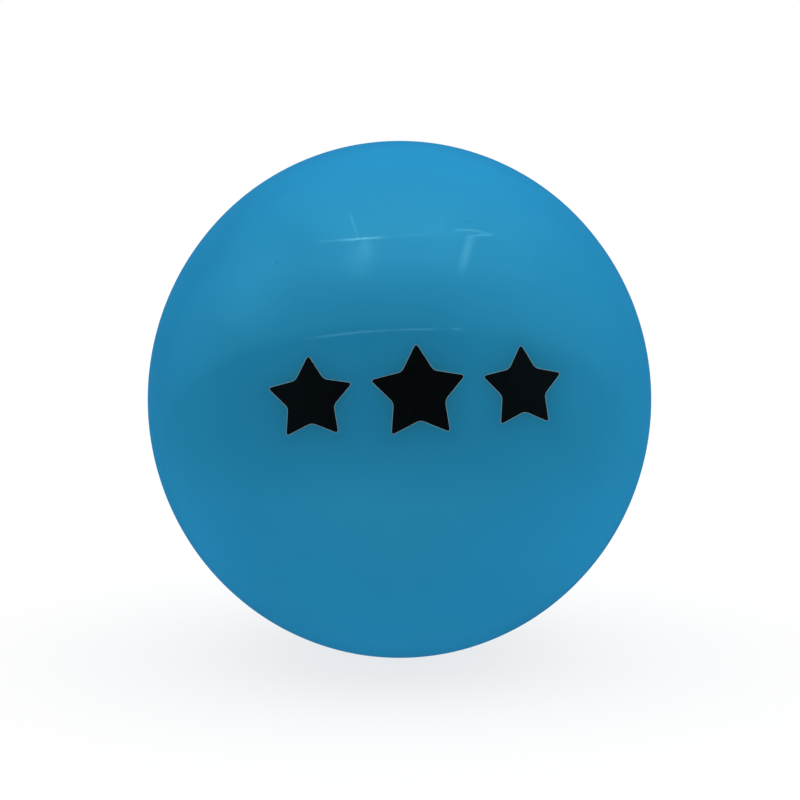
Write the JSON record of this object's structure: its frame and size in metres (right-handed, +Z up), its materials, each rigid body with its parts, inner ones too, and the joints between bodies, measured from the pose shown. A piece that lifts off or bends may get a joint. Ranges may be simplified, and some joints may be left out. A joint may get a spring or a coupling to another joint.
{
  "type": "toy ball",
  "caption": "Blown-up soft vinyl play ball: a hollow glossy wall that rolls and bounces, with a valve in its back that a push-in stopper closes.",
  "frame": {"origin": "middle of the flat patch that the ball stands on, under its centre, on the floor", "axes": "+Z up, along the ball's slightly longer axis; -Y is the printed front, which faces the camera; +Y is the back, where the valve is and the way that its stopper pulls out; +X to the right seen from the front"},
  "size_m": [0.218, 0.2179, 0.223],
  "materials": {
    "shell_vinyl": "gloss",
    "seat_vinyl": "satin",
    "stopper_plastic": "satin",
    "print_ink": "gloss",
    "print_edge": "gloss"
  },
  "bodies": {
    "ball": {"ball_shell": "shell_vinyl", "valve_seat": "seat_vinyl"},
    "stopper": {"valve_stopper": "stopper_plastic"}
  },
  "joints": [
    {"name": "stopper_pull", "type": "slide", "parent": "ball", "child": "stopper", "axis": [0, 1, 0], "range_m": [0, 0.03]}
  ]
}
